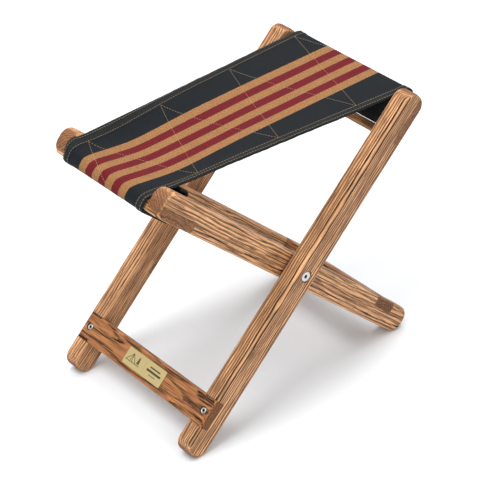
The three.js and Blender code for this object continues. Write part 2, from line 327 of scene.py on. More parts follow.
# Each metal's colour, its roughness and the scale of its brushing on each axis.
METALS = {
    "plated_steel": (paint(205, 207, 207), 0.34, (900.0, 900.0, 40.0)),
    # The socket's steel is dark: painted shade inside the hexagon sockets.
    "socket_shade_steel": (paint(62, 58, 54), 0.6, (900.0, 900.0, 40.0)),
    "satin_brass": (paint(226, 205, 148), 0.46, (80.0, 2600.0, 2600.0)),
}
BRUSHED_DARKER = 0.6
BRUSHED_TINT = (0.25, 0.1)
GLOSS_CLOUD = {"scale": 300.0, "change": 0.2}
BRUSHED_RELIEF = (0.03 * MM, 0.5)


def metal(name):
    """Bare or plated metal with fine brushing across one axis and slightly uneven gloss."""
    colour, roughness, brushed = METALS[name]
    g = Graph(name, metallic=1.0)
    place = g.coordinates()
    lines = g.noise(g.scaled(place, brushed), 1.0, 3.0, 0.6)
    darker = (*[BRUSHED_DARKER * part for part in colour[:3]], 1)
    tint = g.math("MULTIPLY_ADD", lines, *BRUSHED_TINT)
    g.feed(g.surface["Base Color"], g.mix(tint, colour, darker))
    cloud, change = g.noise(place, GLOSS_CLOUD["scale"]), GLOSS_CLOUD["change"]
    g.feed(g.surface["Roughness"], g.math("MULTIPLY_ADD", cloud, change, roughness - change / 2))
    g.bump(lines, *BRUSHED_RELIEF)
    return g.material


# Plain materials: two tones, the scale and detail of the noise that mixes them, the strength of
# its relief and the other values of the surface.
PLAIN = {
    "nylon": (
        (paint(222, 218, 206), paint(238, 235, 226)), 1800.0, 3.0, 0.4,
        {"roughness": 0.55, "subsurface_weight": 0.1},
    ),
    "engraving": (
        (paint(52, 42, 26), paint(86, 72, 44)), 2600.0, 3.0, 0.5,
        {"roughness": 0.7},
    ),
    "thread": (
        (paint(124, 101, 68), paint(168, 140, 98)), 2500.0, 2.0, 0.6,
        {"roughness": 0.7, "sheen_weight": 0.2},
    ),
    "floor": (
        ((0.84, 0.865, 0.885, 1), (0.85, 0.875, 0.895, 1)), 60.0, 2.0, 0,
        {"roughness": 0.9},
    ),
}
PLAIN_RELIEF = 0.05 * MM


def plain(name):
    tones, scale, detail, relief, surface = PLAIN[name]
    g = Graph(name, **surface)
    grain = g.noise(g.coordinates(), scale, detail)
    g.feed(g.surface["Base Color"], g.mix(grain, *tones))
    if relief:
        g.bump(grain, PLAIN_RELIEF, relief)
    return g.material


# Canvas cloth


STRIPES = 7
BAND_HALF = 51.5 * MM
THREAD_PITCH = 0.85 * MM
GROUND, TAN, RED = paint(25, 29, 33), paint(150, 107, 69), paint(103, 25, 33)
# Hems are lightened towards this tone: wear, and a painted highlight on their folded edge.
HEM_WEAR_AND_HIGHLIGHT = paint(100, 99, 94)

CANVAS_SHEEN = {"sheen_weight": 0.03, "sheen_roughness": 0.5}
CANVAS_SPECULAR = 0.15
# How far the stripes' edges stray, and the noise that moves them.
RAGGED = {"reach": 1.0 * MM, "scale": 900.0, "detail": 1.0}
SLUBS = {"scale": (1400.0, 300.0, 1.0), "detail": 3.0, "roughness": 0.7}
CLOUDS = (45.0, 3.0, 0.6)
MOTTLE = (520.0, 3.0, 0.75)
# Each part's share in the shade of the cloth: a factor and what is added to it, or, for the
# mottle, the noise's limits and the shades they stand for.
# The weave's share darkens the hollows between the threads: painted shade.
WEAVE_PAINTED_SHADE = 0.22
SLUB_SHADE = (0.5, 0.5)
CLOUD_SHADE = (0.3, 0.85)
MOTTLE_SHADE = (0.32, 0.68, 0.6, 1.42)
HEM_WEAR_AND_HIGHLIGHT_LIMITS = (0.35, 0.7, 0.0, 0.13)
CANVAS_ROUGHNESS = (0.2, 0.75)
CANVAS_RELIEF = {"slubs": 0.8, "depth": 0.25 * MM, "strength": 0.7}


def woven(g, u, v):
    """The height of a plain weave: warp and weft threads that pass over each other in turn."""
    turn = math.pi / THREAD_PITCH
    warp, weft = (
        g.math("ABSOLUTE", g.math("SINE", g.math("MULTIPLY", way, turn))) for way in (u, v)
    )
    cells = [g.math("FLOOR", g.math("DIVIDE", way, THREAD_PITCH)) for way in (u, v)]
    over = g.math("PINGPONG", g.math("ADD", *cells), 1.0)
    under = g.math("SUBTRACT", 1.0, over)
    return g.math("ADD", g.math("MULTIPLY", warp, over), g.math("MULTIPLY", weft, under))


def canvas_cloth():
    """Plain-weave canvas. Its UV map is the flat cut in metres: across, then along."""
    g = Graph("canvas", **CANVAS_SHEEN)
    g.surface["Specular IOR Level"].default_value = CANVAS_SPECULAR
    uv = g.coordinates("UV")
    u, v, _ = g.add("SeparateXYZ", {0: uv}).outputs

    stray = g.noise(uv, RAGGED["scale"], RAGGED["detail"])
    ragged = g.math("MULTIPLY_ADD", stray, RAGGED["reach"], -RAGGED["reach"] / 2)
    across = g.math("ADD", u, ragged)
    stripe = g.math("MULTIPLY_ADD", across, STRIPES / (2 * BAND_HALF), STRIPES / 2)
    odd = g.math("GREATER_THAN", g.math("FRACT", g.math("MULTIPLY", stripe, 0.5)), 0.5)
    inside = g.math("LESS_THAN", g.math("ABSOLUTE", across), BAND_HALF)
    colour = g.mix(inside, GROUND, g.mix(odd, TAN, RED))

    weave = woven(g, u, v)
    slubs = g.noise(g.scaled(uv, SLUBS["scale"]), 1.0, SLUBS["detail"], SLUBS["roughness"])
    # Thread crowns lighter and the hollows between them darker: painted shade of the weave.
    shade = g.math("MULTIPLY_ADD", weave, WEAVE_PAINTED_SHADE, g.math("MULTIPLY_ADD", slubs, *SLUB_SHADE))
    shade = g.math("MULTIPLY", shade, g.span(g.noise(uv, *MOTTLE), *MOTTLE_SHADE))
    clouds = g.math("MULTIPLY_ADD", g.noise(uv, *CLOUDS), *CLOUD_SHADE)
    shade = g.math("MULTIPLY", shade, clouds)
    tone = g.add("CombineXYZ", {0: shade, 1: shade, 2: shade}).outputs[0]
    colour = g.mix(1.0, colour, tone, "MULTIPLY")

    hem = g.add("Attribute", {}, attribute_name="hem").outputs["Fac"]
    # The hems are lightened where slubs stand: wear, and a painted highlight on the fold.
    colour = g.tinted(colour, hem, g.span(slubs, *HEM_WEAR_AND_HIGHLIGHT_LIMITS), HEM_WEAR_AND_HIGHLIGHT)
    g.feed(g.surface["Base Color"], colour)
    g.feed(g.surface["Roughness"], g.math("MULTIPLY_ADD", slubs, *CANVAS_ROUGHNESS))
    relief = g.math("MULTIPLY_ADD", slubs, CANVAS_RELIEF["slubs"], weave)
    g.bump(relief, CANVAS_RELIEF["depth"], CANVAS_RELIEF["strength"])
    return g.material


# Making pieces


# Corners within WELD are one, faces within SAME_FLAT are one flat, and edges sharper than
# EASED_ANGLE are rounded by EASE.
WELD = 0.01 * MM
SAME_FLAT = math.radians(1)
EASED_ANGLE = math.radians(40)
EASE = 0.45 * MM


def new_piece(name, vertices, faces, material, smooth=True):
    mesh = bpy.data.meshes.new(name)
    mesh.from_pydata([tuple(v) for v in vertices], [], faces)
    mesh.validate()
    mesh.materials.append(material)
    if smooth:
        mesh.shade_smooth()
    piece = bpy.data.objects.new(name, mesh)
    bpy.context.scene.collection.objects.link(piece)
    return piece


def stand_for(piece, body, slot, *nodes):
    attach(piece, body)
    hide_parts(*nodes)


def joined(parts):
    """Parts, each its vertices and faces, as one list of vertices and one of faces."""
    vertices, faces = [], []
    for part_vertices, part_faces in parts:
        shift = len(vertices)
        vertices += part_vertices
        faces += [tuple(i + shift for i in face) for face in part_faces]
    return vertices, faces


def eased_copy(node, material):
    """A CAD node's shape with its sharp edges eased and its flats and rounds smoothly shaded."""
    source = frame["nodes"][node].data
    faces = [tuple(polygon.vertices) for polygon in source.polygons]
    piece = new_piece(f"{node}_eased", [v.co for v in source.vertices], faces, material)
    bm = bmesh.new()
    bm.from_mesh(piece.data)
    bmesh.ops.remove_doubles(bm, verts=bm.verts, dist=WELD)
    bmesh.ops.dissolve_limit(bm, angle_limit=SAME_FLAT, verts=bm.verts, edges=bm.edges)
    bm.to_mesh(piece.data)
    bm.free()
    bevel = piece.modifiers.new("ease", "BEVEL")
    bevel.width = EASE
    bevel.segments = 2
    bevel.limit_method = "ANGLE"
    bevel.angle_limit = EASED_ANGLE
    bevel.harden_normals = False
    piece.modifiers.new("flats", "WEIGHTED_NORMAL").keep_sharp = True
    return piece


def make_wood():
    for seed, (node, (log, tones)) in enumerate(MEMBERS.items(), start=1):
        side = node.split("_")[0]
        low, high = AXES[side].box(node)
        material = wood(f"{node}_wood", AXES[side], (low + high) / 2, log, tones, seed)
        slot = "leg_wood" if "leg" in node else "board_wood"
        stand_for(eased_copy(node, material), f"{side}_frame", slot, node)


# Fasteners: turned pieces about a local axis, with a hexagonal socket in the head


# Sizes in millimetres. shank, head and dish are radii, and flats is across the socket. The dish
# is the cone that leads into it, and sunk is how far a head lies below its CAD node's end.
SCREW = {"shank": 2.5, "length": 30, "head": 4.8, "height": 3.6, "flats": 4.0,
         "dish": 2.7, "dish_depth": 0.4, "socket": 3.0, "sunk": 0}
BOLT = {"shank": 3.0, "length": 46, "head": 7.4, "height": 2.0, "flats": 5.0,
        "dish": 4.0, "dish_depth": 0.6, "socket": 3.8, "sunk": 1.0}
NUT = {"shank": 4.5, "length": 3, "head": 7.0, "height": 1.8, "flats": 5.0,
       "dish": 3.4, "dish_depth": 0.3, "socket": 2.6, "sunk": 0}
TIP_EASE = 0.4 * MM
# The share of a head's height, and of a washer's thickness, by which its rim is rounded.
HEAD_EASE = 0.28
WASHER_EASE = 0.25
# The socket's floor dips to a point: the share of its width that stays flat, and the dip.
SOCKET_FLOOR = {"flat": 0.2, "dip": 0.2 * MM}
WASHER_PLAY = 0.3 * MM

SIDES = 48
RIM_STEPS = 4
SHARP_ANGLE = math.radians(38)


def hexagon_reach(angle, across_flats):
    sixth = math.pi / 3
    return across_flats / 2 / math.cos(angle % sixth - sixth / 2)


def lathe(name, rings, material, place, bored=False):
    """Joins rings of (radius or function of the angle, height). bored joins the last to the first
    and leaves the hole open; otherwise both ends are closed."""
    angles = np.arange(SIDES) * 2 * math.pi / SIDES
    vertices = []
    for reach, height in rings:
        for angle in angles:
            radius = reach(angle) if callable(reach) else reach
            vertices.append((radius * math.cos(angle), radius * math.sin(angle), height))
    faces = []
    count = len(vertices)
    for ring in range(len(rings) - (not bored)):
        for i in range(SIDES):
            a, b = ring * SIDES + i, ring * SIDES + (i + 1) % SIDES
            faces.append((a, b, (b + SIDES) % count, (a + SIDES) % count))
    if not bored:
        faces.append(tuple(reversed(range(SIDES))))
        faces.append(tuple(range(count - SIDES, count)))
    piece = new_piece(name, vertices, faces, material)
    piece.data.transform(place)
    piece.data.set_sharp_from_angle(angle=SHARP_ANGLE)
    return piece


def rounded_rim(radius, low, high, ease):
    """Rings up a rim and round its top edge."""
    rings = [(radius, low)]
    for i in range(RIM_STEPS + 1):
        angle = math.pi / 2 * i / RIM_STEPS
        rings.append((radius - ease + ease * math.cos(angle), high - ease + ease * math.sin(angle)))
    return rings


def headed(name, size, steels, place):
    """A fastener with its head's underside at height 0. steels are for its outside and for its socket, whose dark
    steel is painted shade.
    """
    shank, length, head, height = (size[key] * MM for key in ("shank", "length", "head", "height"))
    flats, dish, dish_depth = (size[key] * MM for key in ("flats", "dish", "dish_depth"))
    floor = height - size["socket"] * MM
    rings = [
        (shank - TIP_EASE, -length),
        (shank, TIP_EASE - length),
        (shank, 0),
        *rounded_rim(head, 0, height, HEAD_EASE * height),
        (dish, height),
    ]
    outside = len(rings)
    rings += [
        (lambda angle: hexagon_reach(angle, flats), height - dish_depth),
        (lambda angle: hexagon_reach(angle, flats), floor),
        (lambda angle: SOCKET_FLOOR["flat"] * hexagon_reach(angle, flats),
         floor - SOCKET_FLOOR["dip"]),
    ]
    piece = lathe(name, rings, steels[0], place)
    # The socket's walls and floor take the dark steel: painted shade in the socket.
    piece.data.materials.append(steels[1])
    for polygon in piece.data.polygons[outside * SIDES:]:
        polygon.material_index = 1
    return piece


def along_axis(node, axes, index, sign):
    """A matrix that stands +Z on the frame axis with that index, at the node's outer end."""
    low, high = axes.box(node)
    end = (low + high) / 2
    end[index] = high[index] if sign > 0 else low[index]
    direction = Vector([sign if i == index else 0 for i in range(3)])
    turn = direction.to_track_quat("Z", "Y").to_matrix().to_4x4()
    return axes.matrix @ Matrix.Translation(end) @ turn


def add_fastener(node, size, steels, side, index, sign):
    """A headed fastener in place of a node, with its head at the end that sign points to."""
    seat = Matrix.Translation((0, 0, -(size["height"] + size["sunk"]) * MM))
    place = along_axis(node, AXES[side], index, sign) @ seat
    stand_for(headed(f"{node}_turned", size, steels, place), f"{side}_frame", "steel", node)


def make_fasteners(steels, plastic):
    for side in AXES:
        for board, sign in (("stretcher", 1), ("rail", -1)):
            for end in ENDS:
                add_fastener(f"{side}_{board}_screw_{end}", SCREW, steels, side, 2, sign)
    axes = AXES["outer"]
    for end, sign in ENDS.items():
        add_fastener(f"pivot_bolt_{end}", BOLT, steels, "outer", 1, sign)
        add_fastener(f"pivot_sleeve_nut_{end}", NUT, steels, "outer", 1, -sign)
        node = f"pivot_washer_{end}"
        low, high = axes.box(node)
        thick, outer = high.y - low.y, (high.x - low.x) / 2
        inner = NUT["shank"] * MM + WASHER_PLAY
        rim = rounded_rim(outer, -thick, 0, WASHER_EASE * thick)
        rings = [(inner, -thick), *rim, (inner, 0)]
        place = along_axis(node, axes, 1, sign)
        washer = lathe(f"{node}_turned", rings, plastic, place, bored=True)
        stand_for(washer, "outer_frame", "nylon", node)


# Name plate


PLATE_EASE = 0.25 * MM
PLATE_RADII = (1.6 * MM, 1.4 * MM)
CORNER_STEPS = 5
# The marks' line width, and how far they reach into the plate and stand above it.
MARK = {"line": 0.9 * MM, "below": 0.02 * MM, "above": 0.03 * MM}

# The picture, in millimetres from the middle of the tent's foot, which is placed by shares of
# the plate's half sizes. A pine's tier is a triangle; each stands higher and reaches less.
TENT = {"foot": (-0.66, -0.42), "half": 10, "door": 2.2, "height": 12.5}
GROUND_LINE = (-11, 19)
PINE = {"x": 14, "trunk": 3, "tiers": 3, "foot": 2.5, "rise": 3.2, "tier_height": 4.6,
        "reach": 3.6, "narrows": 0.8}
# Millimetres from the middle of the plate: a dotted divider, and bars of (start, length, width).
DIVIDER = {"dots": 5, "pitch": 3.2, "half": 0.4}
BARS = {"rows": ((10, 22, 2.0), (6, 30, 3.2), (14, 14, 1.0)), "top": 5.2, "pitch": 5.4}


def rounded_outline(half_x, half_y, radius):
    points = []
    for corner, (sx, sy) in enumerate(((1, 1), (-1, 1), (-1, -1), (1, -1))):
        for i in range(CORNER_STEPS + 1):
            angle = (corner + i / CORNER_STEPS) * math.pi / 2
            points.append((sx * (half_x - radius) + radius * math.cos(angle),
                           sy * (half_y - radius) + radius * math.sin(angle)))
    return points


def stacked(levels):
    """Vertices and faces of a solid through outlines of (points, height), closed at both ends."""
    n = len(levels[0][0])
    vertices = [(x, y, z) for outline, z in levels for x, y in outline]
    faces = [tuple(reversed(range(n))), tuple(range(len(vertices) - n, len(vertices)))]
    for level in range(len(levels) - 1):
        for i in range(n):
            a, b = level * n + i, level * n + (i + 1) % n
            faces.append((a, b, b + n, a + n))
    return vertices, faces


def stroke(a, b, width):
    """The outline of a straight line of that width."""
    a, b = Vector(a), Vector(b)
    aside = (b - a).orthogonal().normalized() * width / 2
    return [tuple(a + aside), tuple(a - aside), tuple(b - aside), tuple(b + aside)]


def plate_marks(half_length, half_width):
    """Outlines of a generic picture: a tent and a pine on the ground, a divider and bars."""
    foot = Vector((TENT["foot"][0] * half_length, TENT["foot"][1] * half_width))

    def at(x, y):
        return foot + MM * Vector((x, y))

    line = MARK["line"]
    marks = [
        stroke(at(side * reach, 0), at(0, TENT["height"]), line)
        for reach in (TENT["half"], TENT["door"]) for side in (-1, 1)
    ]
    marks.append(stroke(at(GROUND_LINE[0], 0), at(GROUND_LINE[1], 0), line))
    for tier in range(PINE["tiers"]):
        reach, y = PINE["reach"] - PINE["narrows"] * tier, PINE["foot"] + PINE["rise"] * tier
        corners = ((-reach, y), (reach, y), (0, y + PINE["tier_height"]))
        marks.append([tuple(at(PINE["x"] + aside, up)) for aside, up in corners])
    marks.append(stroke(at(PINE["x"], 0), at(PINE["x"], PINE["trunk"]), line))
    for dot in range(DIVIDER["dots"]):
        y = (dot - DIVIDER["dots"] // 2) * DIVIDER["pitch"]
        ends = ((0, (y + sign * DIVIDER["half"]) * MM) for sign in (-1, 1))
        marks.append(stroke(*ends, line))
    for row, (start, length, width) in enumerate(BARS["rows"]):
        y = (BARS["top"] - BARS["pitch"] * row) * MM
        marks.append(stroke((start * MM, y), ((start + length) * MM, y), width * MM))
    return marks


def make_plate(brass, ink):
    axes = AXES["outer"]
    low, high = axes.box("name_plate")
    half_length, half_width = (high.y - low.y) / 2, (high.x - low.x) / 2
    thickness = high.z - low.z
    outline = rounded_outline(half_length, half_width, PLATE_RADII[0])
    face = rounded_outline(half_length - PLATE_EASE, half_width - PLATE_EASE, PLATE_RADII[1])
    levels = [(outline, 0), (outline, thickness - PLATE_EASE), (face, thickness)]
    plate = new_piece("engraved_plate", *stacked(levels), brass, smooth=False)
    parts = [
        stacked([(mark, thickness - MARK["below"]), (mark, thickness + MARK["above"])])
        for mark in plate_marks(half_length, half_width)
    ]
    marks = new_piece("plate_marks", *joined(parts), ink, smooth=False)
    centre = (low + high) / 2
    centre.z = low.z
    reading = Matrix.Rotation(-math.pi / 2, 4, "Z")
    for piece in (plate, marks):
        piece.data.transform(axes.matrix @ Matrix.Translation(centre) @ reading)
    stand_for(plate, "outer_frame", "brass", "name_plate")
    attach(marks, "outer_frame")


# Canvas seat


# How thick the cloth and its hems are, how wide a hem is and how long its inner slope is.
CLOTH = 2.4 * MM
HEM_CLOTH = 4.0 * MM
HEM_WIDTH = 13.5 * MM
HEM_STEP = 1.6 * MM
# The cloth's gaps to the rails and to the legs, the seat's end in X, and where it starts to flare.
LIFT = 0.7 * MM
SIDE_GAP = 1.4 * MM
SEAT_END = 204.6 * MM
FLARE_FROM = -190 * MM
# The slot's place from its rail's lower edge, and the least height of the cloth that shows.
SLOT_UP = 15 * MM
SHOWN_ABOVE_PIVOT = 158 * MM
STEP = 3 * MM
ACROSS = 72
EDGE_CROWDING = 0.45
BEND_STEPS = 9

# Half the width of the striped band at the inner and at the outer end of the seat.
BAND_ENDS = (50 * MM, 53 * MM)

# The middle line of the seat, in millimetres: it dips behind the near rail, where it is sat on.
SEAT_LINE = [(-204.6, 404.4), (-165, 399.2), (-130, 396.8), (-50, 398.9),
             (50, 402.4), (130, 404.2), (204.6, 405.4)]

# Each sleeve stands off its rail by loft. Past the slot its tail turns at tail, which is measured
# along the legs and across them, and is sewn under the seat at the seam.
SLEEVES = {
    "outer": {"loft": 5.4 * MM, "seam": 188 * MM, "tail": (6 * MM, 5 * MM), "turn": 3 * MM},
    "inner": {"loft": 2.6 * MM, "seam": 163 * MM, "tail": (-4 * MM, 28 * MM), "turn": 9 * MM},
}
BEND = 3 * MM
EDGE_BEND = 7 * MM
SEAM_DROP = 1.5 * CLOTH
# The sleeve bulges down the rail's outer face, on its run that lies within FACE_RUN of it.
BULGE = 2 * MM
FACE_RUN = 0.5 * MM

# The front hem stays level. The rear hem climbs the end of the inner leg, and its heights are at
# the inner and the outer end. BOW is the power of the share across by which a hem's lift sets in,
# at the inner end and from the middle on.
FRONT_HEM = 404.8 * MM
REAR_HEM = (415.4 * MM, 407.9 * MM)
BOW = (6.0, 2.0)
HEM_SETTLES = 24 * MM
# Where it climbs, the rear hem's edge lies out over the leg: from this share across, by this
# reach, in full at this lift, and setting in over this length before the seat's end.
OVERHANG = {"share": 0.9, "reach": 3 * MM, "lift": 10 * MM, "length": 4 * MM}

# Waves of (height, length) in the hems and across the seat, in millimetres.
HEM_WAVES = ((0.12, 2.3), (0.22, 6.1))
REAR_WAVE_SHIFT = 1.7
PUCKER_REACH = 9 * MM
PUCKER_HELD = 0.35
SLACK = {"height": 0.35, "lengths": (31, 90), "turns": (3, 2.2)}


def unit(vectors):
    return vectors / np.maximum(np.linalg.norm(vectors, axis=-1, keepdims=True), TINY)


def eased(share):
    """0 below 0, 1 above 1, and a smooth rise between them."""
    held = np.clip(share, 0, 1)
    return held * held * (3 - 2 * held)


def run_along(points):
    """The distance along a line of points, from its first."""
    return np.concatenate([[0], np.cumsum(np.linalg.norm(np.diff(points, axis=0), axis=1))])


def smooth_line(points, step):
    """A Catmull-Rom curve through points, sampled about every step."""
    p = np.array(points, float)
    p = np.vstack([2 * p[0] - p[1], p, 2 * p[-1] - p[-2]])
    out = []
    for a, b, c, d in zip(p, p[1:], p[2:], p[3:]):
        t = np.linspace(0, 1, max(2, int(np.linalg.norm(c - b) / step)), endpoint=False)[:, None]
        out.append(0.5 * (2 * b + (c - a) * t + (2 * a - 5 * b + 4 * c - d) * t**2
                          + (3 * b - a - 3 * c + d) * t**3))
    return np.vstack([*out, p[-2:-1]])


def bent_path(corners, bends):
    """Straight runs between corners. Each inner corner is rounded within its bend of it."""
    corners = [np.array(corner, float) for corner in corners]
    out = [corners[0][None]]
    t = np.linspace(0, 1, BEND_STEPS)[:, None]
    for before, corner, after, bend in zip(corners, corners[1:], corners[2:], bends):
        start = corner + bend * (before - corner) / np.linalg.norm(before - corner)
        end = corner + bend * (after - corner) / np.linalg.norm(after - corner)
        out.append((1 - t) ** 2 * start + 2 * t * (1 - t) * corner + t**2 * end)
    return np.vstack([*out, corners[-1][None]])


def sleeve_line(side):
    """From the seat's end over the rail, down its outer face, through the slot to the seam."""
    axes, sleeve = AXES[side], SLEEVES[side]
    low, high = axes.box(f"{side}_seat_rail")
    off = CLOTH / 2 + LIFT
    over, outside, inside = high.x + off + sleeve["loft"], low.z - off, high.z + off
    slot = low.x + SLOT_UP
    seat_x, seat_z = (MM * np.array(SEAT_LINE)).T

    def in_frame(x, drop=0):
        """A point of the seat's line, or one at a drop below it, as u and n."""
        height = np.interp(axes.facing * x, seat_x, seat_z) - drop
        place = axes.matrix.inverted() @ Vector((axes.facing * x, 0, height))
        return np.array((place.x, place.z))

    start = in_frame(SEAT_END)
    turn = (over, start[1] - (over - start[0]) * math.tan(TILT))
    tail = (slot + sleeve["tail"][0], inside + sleeve["tail"][1])
    seam = in_frame(sleeve["seam"], SEAM_DROP)
    corners = [start, turn, (over, outside), (slot, outside), (slot, inside), tail, seam]
    path = bent_path(corners, [BEND, EDGE_BEND, BEND, BEND, sleeve["turn"]])
    down = np.clip((over - path[:, 0]) / (over - slot), 0, 1)
    on_face = path[:, 1] < outside + FACE_RUN
    path[:, 1] -= on_face * BULGE * np.sin(math.pi * down)
    world = [axes.matrix @ Vector((u, 0, n)) for u, n in path]
    return np.array([(w.x, w.z) for w in world])


def evenly(line, step):
    """The line resampled about every step, with the distance along it."""
    along = run_along(line)
    keep = np.concatenate([[True], np.diff(along) > TINY])
    at = np.linspace(0, along[-1], int(along[-1] / step) + 1)
    return np.stack([np.interp(at, along[keep], line[keep, k]) for k in (0, 1)], axis=1), at


class Canvas:
    """The whole cloth as a grid: stations along it, from the outer seam to the inner seam.

    line and along are the stations' places and distances, half their half widths, and t the
    share of it, from -1 to 1, at which each column of the grid lies.
    """

    def __init__(self):
        seat = smooth_line(MM * np.array(SEAT_LINE), STEP)[::-1]
        outer, inner = sleeve_line("outer"), sleeve_line("inner")
        self.line, self.along = evenly(np.vstack([outer[::-1][:-1], seat, inner[1:]]), STEP)
        lengths = [run_along(part)[-1] for part in (outer, seat)]
        self.seat_from, self.seat_to = lengths[0], sum(lengths)
        self.on_seat = (self.along >= self.seat_from) & (self.along <= self.seat_to)
        self.half = self.half_widths()
        self.band = np.interp(self.line[:, 0], (-SEAT_END, SEAT_END), BAND_ENDS)
        edge = np.linspace(-1, 1, ACROSS + 1)
        self.t = EDGE_CROWDING * np.sin(edge * math.pi / 2) + (1 - EDGE_CROWDING) * edge
        self.from_edge = self.half[:, None] * (1 - np.abs(self.t))

    def half_widths(self):
        leg = AXES["inner"].box("inner_leg_front")
        inset = leg[1].y - leg[0].y + SIDE_GAP
        near, far = (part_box(f"{side}_seat_rail")[1].y - inset for side in ("inner", "outer"))
        return np.interp(self.line[:, 0], (FLARE_FROM, SEAT_END), (near, far))

    def surface(self):
        """The grid's points midway through the cloth: station, column, xyz."""
        t = self.t
        x, z = self.line[:, 0], self.line[:, 1]
        ahead = unit(np.gradient(self.line, axis=0))
        outward = np.stack([ahead[:, 1], -ahead[:, 0]], axis=1)
        from_seat = np.maximum(self.seat_from - self.along, self.along - self.seat_to)
        settle = 1 - eased(from_seat / HEM_SETTLES)
        seat_x = np.clip(x, -SEAT_END, SEAT_END)
        seat_z = np.interp(self.along, self.along[self.on_seat], z[self.on_seat])
        rear = np.interp(seat_x, (-SEAT_END, SEAT_END), REAR_HEM)
        bow = BOW[1] + (BOW[0] - BOW[1]) * eased(-seat_x / SEAT_END)
        hem = np.where(t[None] < 0, FRONT_HEM, rear[:, None])
        lift = (hem - seat_z[:, None]) * settle[:, None] * np.abs(t[None]) ** bow[:, None]
        climb = np.clip(lift / OVERHANG["lift"], 0, 1)
        at_end = eased(from_seat / OVERHANG["length"] + 1)[:, None]
        over = np.clip((t - OVERHANG["share"]) / (1 - OVERHANG["share"]), 0, 1)
        points = np.zeros((len(x), len(t), 3))
        points[:, :, 0] = x[:, None] + outward[:, :1] * lift
        points[:, :, 1] = self.half[:, None] * t + climb * at_end * OVERHANG["reach"] * over
        points[:, :, 2] = z[:, None] + outward[:, 1:] * lift
        return points

    def puckers(self):
        """Small waves that the stitching draws into the hems, and slack across the seat."""
        s, t = self.along[:, None], self.t
        shift = np.where(t > 0, REAR_WAVE_SHIFT, 0.0)
        hem = sum(height * np.sin(s / (length * MM) + turns * shift)
                  for turns, (height, length) in enumerate(HEM_WAVES, start=1))
        at_hem = np.exp(-((self.from_edge / PUCKER_REACH) ** 2))
        short, long = (s / (length * MM) for length in SLACK["lengths"])
        turn_short, turn_long = (turns * t for turns in SLACK["turns"])
        slack = SLACK["height"] * np.sin(short + turn_short) * np.cos(turn_long + long)
        arch = np.clip(1 - (self.line[:, :1] / SEAT_END) ** 2, 0, 1)
        free = self.on_seat[:, None] * np.sqrt(arch)
        return MM * (at_hem * hem * (PUCKER_HELD + (1 - PUCKER_HELD) * free) + slack * free)

    def shown_run(self):
        """Where the visible run starts and ends: by the slots in the two rails."""
        lows = self.along[self.line[:, 1] < PIVOT.z + SHOWN_ABOVE_PIVOT]
        middle = self.along[-1] / 2
        return lows[lows < middle].max(), lows[lows > middle].min()


def around(top, under):
    """Grids for the two sides of a sheet as one, whose rows go round it."""
    return np.concatenate([top, under[:, -2:0:-1]], axis=1)


def make_cloth(canvas, material):
    """The canvas as one solid with thicker hems, and its top side."""
    middle, folded = canvas.surface(), eased((HEM_WIDTH - canvas.from_edge) / HEM_STEP)
    normal = unit(np.cross(np.gradient(middle, axis=1), np.gradient(middle, axis=0)))
    middle = middle + normal * canvas.puckers()[:, :, None]
    thick = CLOTH + (HEM_CLOTH - CLOTH) * folded
    round_edge = np.clip(canvas.from_edge / (HEM_CLOTH / 2), 0, 1)
    thick = thick * np.sqrt(1 - (1 - round_edge) ** 2)
    top = middle + normal * thick[:, :, None] / 2
    under = middle - normal * thick[:, :, None] / 2

    stations, columns = top.shape[:2]
    ring = around(top, under)
    size = ring.shape[1]
    faces = []
    for i in range(stations - 1):
        for j in range(size):
            k = (j + 1) % size
            faces.append((i * size + j, i * size + k, (i + 1) * size + k, (i + 1) * size + j))
    for i, flip in ((0, True), (stations - 1, False)):
        for j in range(columns - 1):
            back = [(size - j) % size, size - j - 1]
            face = (i * size + j, i * size + back[0], i * size + back[1], i * size + j + 1)
            faces.append(tuple(dict.fromkeys(reversed(face) if flip else face)))
    piece = new_piece("canvas_seat", ring.reshape(-1, 3), faces, material)

    flat_across = canvas.half[:, None] * (BAND_HALF / canvas.band)[:, None] * canvas.t
    flat_along = np.repeat(canvas.along[:, None], columns, axis=1)
    flat = np.stack([flat_across, flat_along], axis=-1)
    flat = around(flat, flat).reshape(-1, 2)
    corner = np.zeros(len(piece.data.loops), int)
    piece.data.loops.foreach_get("vertex_index", corner)
    piece.data.uv_layers.new(name="flat_cut").data.foreach_set("uv", flat[corner].ravel())
    hem = piece.data.attributes.new("hem", "FLOAT", "POINT")
    hem.data.foreach_set("value", around(folded, folded).ravel())
    return piece, TopSide(canvas, top, normal)


# Stitching


STITCH = {"length": 3.4 * MM, "gap": 0.9 * MM, "radius": 0.28 * MM}
STITCH_RINGS, STITCH_SIDES = 7, 6
STITCH_END = 0.45

# How far in from each long edge the hems' two rows and the zigzag's turns lie.
HEM_ROWS = (2.8 * MM, 11 * MM)
ZIGZAG_INSET = 11.5 * MM
ROW_STEP = 1 * MM

# The zigzag turns at this pitch along the cloth, counted from the turn at this X. A run with no
# more samples than ZIGZAG_LEAST between the slots is left out.
ZIGZAG_PITCH = 65.5 * MM
ZIGZAG_REAR_X = 70 * MM
ZIGZAG_TURNS = range(-5, 7)
ZIGZAG_SAMPLES = 80
ZIGZAG_LEAST = 5


